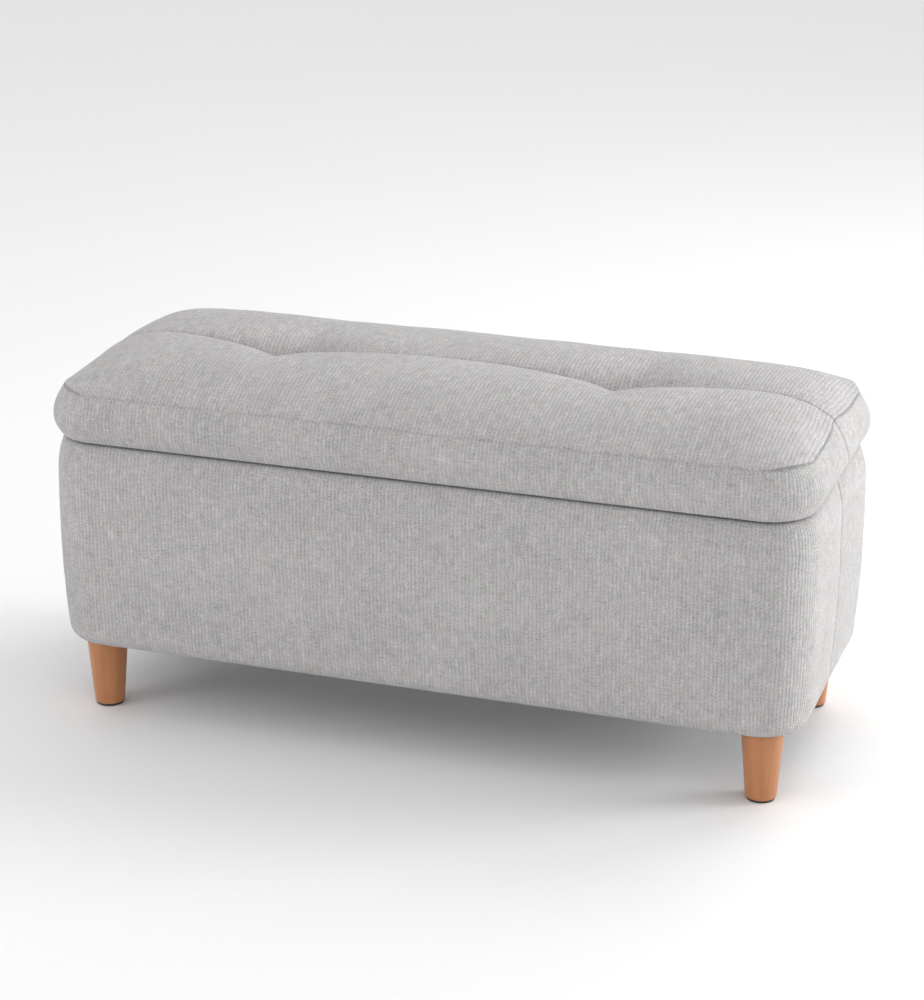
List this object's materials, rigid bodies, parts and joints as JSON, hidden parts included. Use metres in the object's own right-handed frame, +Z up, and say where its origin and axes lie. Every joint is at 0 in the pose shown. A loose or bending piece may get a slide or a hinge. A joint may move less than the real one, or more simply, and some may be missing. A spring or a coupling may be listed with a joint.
{
  "type": "storage bench",
  "caption": "Upholstered storage bench: a padded box on turned legs with a tufted lid that hinges open on gas struts.",
  "frame": {"origin": "on the floor under the middle of the bench", "axes": "+X along the length to the right, -Y towards the front, +Z up"},
  "size_m": [1, 0.4, 0.4783],
  "materials": {
    "grey_fabric": "light grey slubby basket weave",
    "beech": "satin lacquered beech",
    "plywood": "bare plywood",
    "foam": "open-cell foam",
    "non_woven": "black non-woven sheet",
    "lining_grey": "plain lining cloth",
    "zinc_plate": "zinc plated",
    "strut_black": "satin black",
    "dark_plastic": "moulded"
  },
  "bodies": {
    "box": {"front_panel": "plywood", "back_panel": "plywood", "right_end_panel": "plywood", "left_end_panel": "plywood", "floor_panel": "plywood", "corner_post_front_left": "plywood", "corner_post_back_left": "plywood", "corner_post_front_right": "plywood", "corner_post_back_right": "plywood", "threaded_insert_front_left": "zinc_plate", "threaded_insert_back_left": "zinc_plate", "threaded_insert_front_right": "zinc_plate", "threaded_insert_back_right": "zinc_plate", "hanger_bolt_front_left": "zinc_plate", "hanger_bolt_back_left": "zinc_plate", "hanger_bolt_front_right": "zinc_plate", "hanger_bolt_back_right": "zinc_plate", "leg_front_left": "beech", "leg_back_left": "beech", "leg_front_right": "beech", "leg_back_right": "beech", "leg_glide_front_left": "dark_plastic", "leg_glide_back_left": "dark_plastic", "leg_glide_front_right": "dark_plastic", "leg_glide_back_right": "dark_plastic", "box_padding_front": "foam", "box_padding_back": "foam", "box_cover_front": "grey_fabric", "box_cover_back": "grey_fabric", "storage_lining": "lining_grey", "dust_cover": "non_woven", "lid_bumper_left": "lining_grey", "lid_bumper_right": "lining_grey", "hinge_base_leaf_left": "zinc_plate", "hinge_base_leaf_right": "zinc_plate", "hinge_pin_left": "zinc_plate", "hinge_pin_right": "zinc_plate", "strut_base_bracket_left": "zinc_plate", "strut_base_bracket_right": "zinc_plate"},
    "lid": {"lid_board": "plywood", "lid_foam": "foam", "lid_lining": "non_woven", "lid_top_front": "grey_fabric", "lid_top_back": "grey_fabric", "lid_border_front": "grey_fabric", "lid_border_back": "grey_fabric", "tuft_tie_left": "non_woven", "tuft_tie_right": "non_woven", "hinge_lid_leaf_left": "zinc_plate", "hinge_lid_leaf_right": "zinc_plate", "strut_lid_bracket_left": "zinc_plate", "strut_lid_bracket_right": "zinc_plate"},
    "strut_tube_left": {"strut_tube_left": "strut_black"},
    "strut_rod_left": {"strut_rod_left": "zinc_plate"},
    "strut_tube_right": {"strut_tube_right": "strut_black"},
    "strut_rod_right": {"strut_rod_right": "zinc_plate"}
  },
  "joints": [
    {"name": "lid_hinge", "type": "hinge", "parent": "box", "child": "lid", "pos_m": [0, 0.196, 0.3711], "axis": [-1, 0, 0], "range_deg": [0, 75]},
    {"name": "strut_tilt_left", "type": "hinge", "parent": "box", "child": "strut_tube_left", "pos_m": [-0.41, 0.134, 0.204], "axis": [-1, 0, 0], "range_deg": [0, 2.1]},
    {"name": "strut_slide_left", "type": "slide", "parent": "strut_tube_left", "child": "strut_rod_left", "axis": [0, 0.1207, 0.9927], "range_m": [0, 0.0585]},
    {"name": "strut_tilt_right", "type": "hinge", "parent": "box", "child": "strut_tube_right", "pos_m": [0.41, 0.134, 0.204], "axis": [-1, 0, 0], "range_deg": [0, 2.1]},
    {"name": "strut_slide_right", "type": "slide", "parent": "strut_tube_right", "child": "strut_rod_right", "axis": [0, 0.1207, 0.9927], "range_m": [0, 0.0585]}
  ],
  "couplings": [
    {"joint": "strut_tilt_left", "follows": "lid_hinge", "ratio": 0.026625},
    {"joint": "strut_slide_left", "follows": "lid_hinge", "m_per_rad": 0.044369},
    {"joint": "strut_tilt_right", "follows": "lid_hinge", "ratio": 0.026625},
    {"joint": "strut_slide_right", "follows": "lid_hinge", "m_per_rad": 0.044369}
  ]
}
